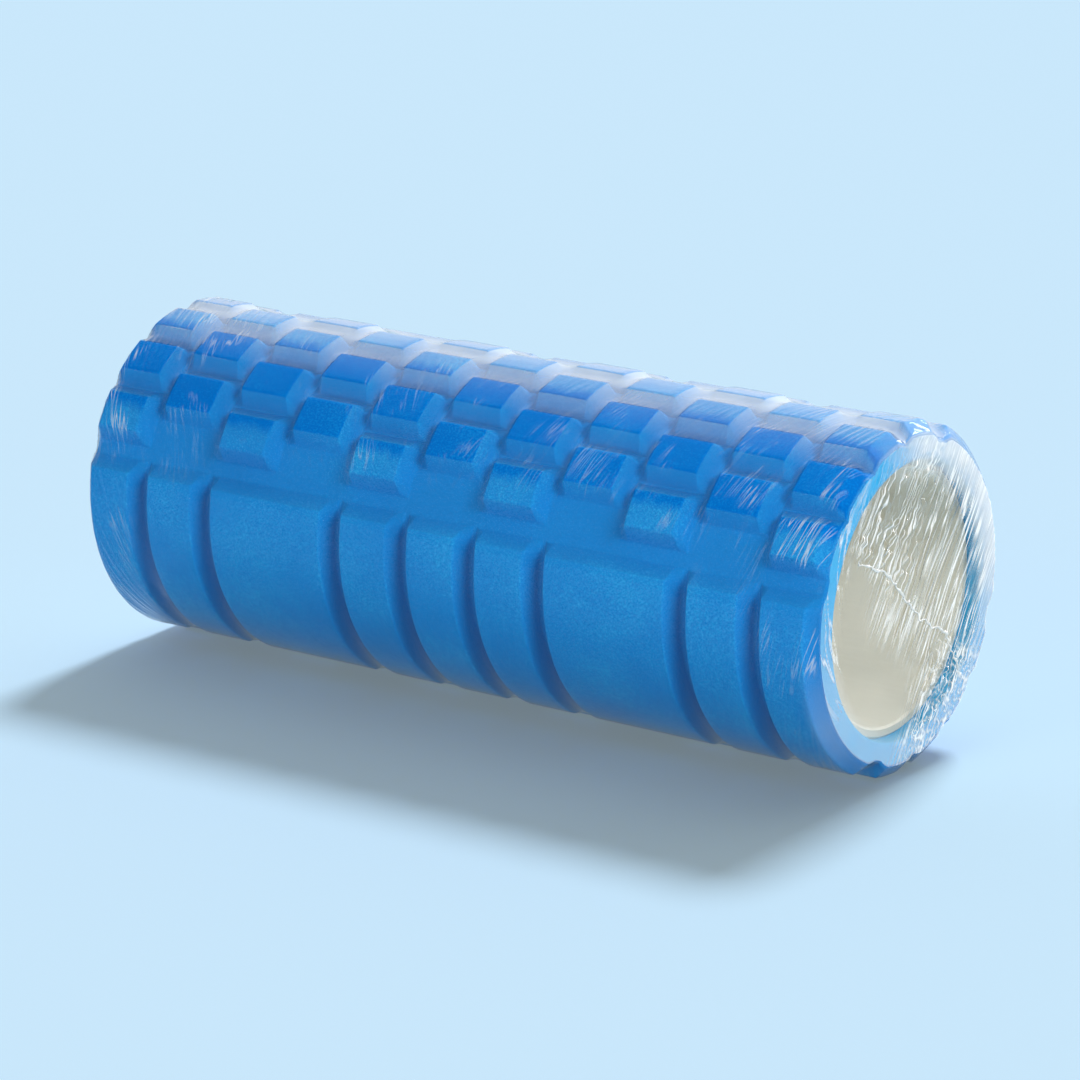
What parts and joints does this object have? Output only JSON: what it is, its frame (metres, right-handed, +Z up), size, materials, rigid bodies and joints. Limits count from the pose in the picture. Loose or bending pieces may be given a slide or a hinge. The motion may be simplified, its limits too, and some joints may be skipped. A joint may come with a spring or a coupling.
{
  "type": "foam roller",
  "caption": "Hollow massage roller: moulded foam sleeve with ribs and staggered blocks on a stiff core tube, closed in clear shrink film.",
  "frame": {"origin": "centre of the roller's bounding box, on its axis at mid length", "axes": "+X along the roller's axis, +Z up with the roller lying on its side"},
  "size_m": [0.3326, 0.1308, 0.1308],
  "materials": {
    "tube_plastic": "matte",
    "foam": "matte",
    "film": "gloss, clear"
  },
  "bodies": {
    "root": {"core_tube": "tube_plastic", "foam_sleeve": "foam", "film_wrap": "film", "film_end_left": "film", "film_end_right": "film", "film_seam_left": "film", "film_seam_right": "film"}
  },
  "joints": []
}
